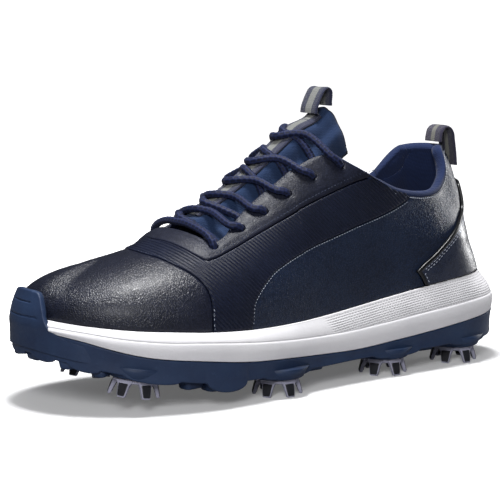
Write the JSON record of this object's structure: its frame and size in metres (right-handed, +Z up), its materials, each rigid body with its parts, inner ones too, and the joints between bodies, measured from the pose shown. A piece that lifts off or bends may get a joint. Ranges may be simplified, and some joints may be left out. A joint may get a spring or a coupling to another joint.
{
  "type": "golf shoe",
  "caption": "Left laced golf shoe with a leather upper, foam midsole and a rubber outsole that carries screw-in cleats, for footing on turf.",
  "frame": {"origin": "centre of the shoe's bounding box at ground level, under the arch", "axes": "+Z up; -X towards the toe, +X towards the heel; -Y towards the lateral (outer) side of the left foot, +Y towards the medial (inner) side"},
  "size_m": [0.3008, 0.109, 0.1622],
  "materials": {
    "outsole_rubber": "satin rubber",
    "midsole_foam": "matte moulded foam",
    "shank_plastic": "matte",
    "board": "pressed fibre board",
    "lining_textile": "brushed microfibre",
    "upper_leather": "soft sheen, fine grain",
    "heel_gloss": "glossy",
    "stiffener": "matte",
    "tongue_textile": "microfibre",
    "webbing": "woven",
    "lace_cord": "braided cord",
    "receptacle_plastic": "matte",
    "cleat_plastic": "satin"
  },
  "bodies": {
    "shoe": {"outsole": "outsole_rubber", "midsole": "midsole_foam", "shank": "shank_plastic", "insole_board": "board", "sockliner": "lining_textile", "receptacle_1": "receptacle_plastic", "receptacle_2": "receptacle_plastic", "receptacle_3": "receptacle_plastic", "receptacle_4": "receptacle_plastic", "receptacle_5": "receptacle_plastic", "receptacle_6": "receptacle_plastic", "receptacle_7": "receptacle_plastic", "receptacle_8": "receptacle_plastic", "toe_cap": "upper_leather", "eyestay": "upper_leather", "ribbed_saddle": "upper_leather", "quarter_lateral": "upper_leather", "quarter_medial": "upper_leather", "heel_cover": "heel_gloss", "toe_puff": "stiffener", "heel_stiffener": "stiffener", "vamp_lining": "lining_textile", "collar_lining": "lining_textile", "tongue": "tongue_textile", "tongue_webbing": "webbing", "lace": "lace_cord"},
    "cleat_body_1": {"cleat_1": "cleat_plastic"},
    "cleat_body_2": {"cleat_2": "cleat_plastic"},
    "cleat_body_3": {"cleat_3": "cleat_plastic"},
    "cleat_body_4": {"cleat_4": "cleat_plastic"},
    "cleat_body_5": {"cleat_5": "cleat_plastic"},
    "cleat_body_6": {"cleat_6": "cleat_plastic"},
    "cleat_body_7": {"cleat_7": "cleat_plastic"},
    "cleat_body_8": {"cleat_8": "cleat_plastic"},
    "tongue_top": {"tongue_flap": "tongue_textile"},
    "tongue_loop": {"tongue_pull_loop": "webbing"},
    "heel_loop": {"heel_pull_loop": "webbing"}
  },
  "joints": [
    {"name": "cleat_1_twist", "type": "hinge", "parent": "shoe", "child": "cleat_body_1", "pos_m": [-0.1037, -0.02953, 0.0176], "axis": [-0.1392, 0, -0.9903], "range_deg": [0, 90]},
    {"name": "cleat_2_twist", "type": "hinge", "parent": "shoe", "child": "cleat_body_2", "pos_m": [-0.0197, -0.03703, 0.0094], "axis": [0, 0, -1], "range_deg": [0, 90]},
    {"name": "cleat_3_twist", "type": "hinge", "parent": "shoe", "child": "cleat_body_3", "pos_m": [0.0613, -0.02553, 0.0094], "axis": [0, 0, -1], "range_deg": [0, 90]},
    {"name": "cleat_4_twist", "type": "hinge", "parent": "shoe", "child": "cleat_body_4", "pos_m": [0.1173, -0.02103, 0.0094], "axis": [0, 0, -1], "range_deg": [0, 90]},
    {"name": "cleat_5_twist", "type": "hinge", "parent": "shoe", "child": "cleat_body_5", "pos_m": [-0.0987, 0.03247, 0.017], "axis": [-0.1392, 0, -0.9903], "range_deg": [0, 90]},
    {"name": "cleat_6_twist", "type": "hinge", "parent": "shoe", "child": "cleat_body_6", "pos_m": [-0.0357, 0.03547, 0.0094], "axis": [0, 0, -1], "range_deg": [0, 90]},
    {"name": "cleat_7_twist", "type": "hinge", "parent": "shoe", "child": "cleat_body_7", "pos_m": [0.0613, 0.02447, 0.0094], "axis": [0, 0, -1], "range_deg": [0, 90]},
    {"name": "cleat_8_twist", "type": "hinge", "parent": "shoe", "child": "cleat_body_8", "pos_m": [0.1163, 0.02497, 0.0094], "axis": [0, 0, -1], "range_deg": [0, 90]},
    {"name": "tongue_flop", "type": "hinge", "parent": "shoe", "child": "tongue_top", "pos_m": [0.0298, 0.00247, 0.12], "axis": [0, 1, 0], "range_deg": [-4, 14], "stiffness_Nm_per_rad": 0.05},
    {"name": "tongue_loop_swing", "type": "hinge", "parent": "tongue_top", "child": "tongue_loop", "pos_m": [0.036, 0.00247, 0.1505], "axis": [0, 1, 0], "range_deg": [-12, 15], "stiffness_Nm_per_rad": 0.01},
    {"name": "heel_loop_swing", "type": "hinge", "parent": "shoe", "child": "heel_loop", "pos_m": [0.122, 0.00247, 0.128], "axis": [0, 1, 0], "range_deg": [-15, 0], "stiffness_Nm_per_rad": 0.01}
  ]
}
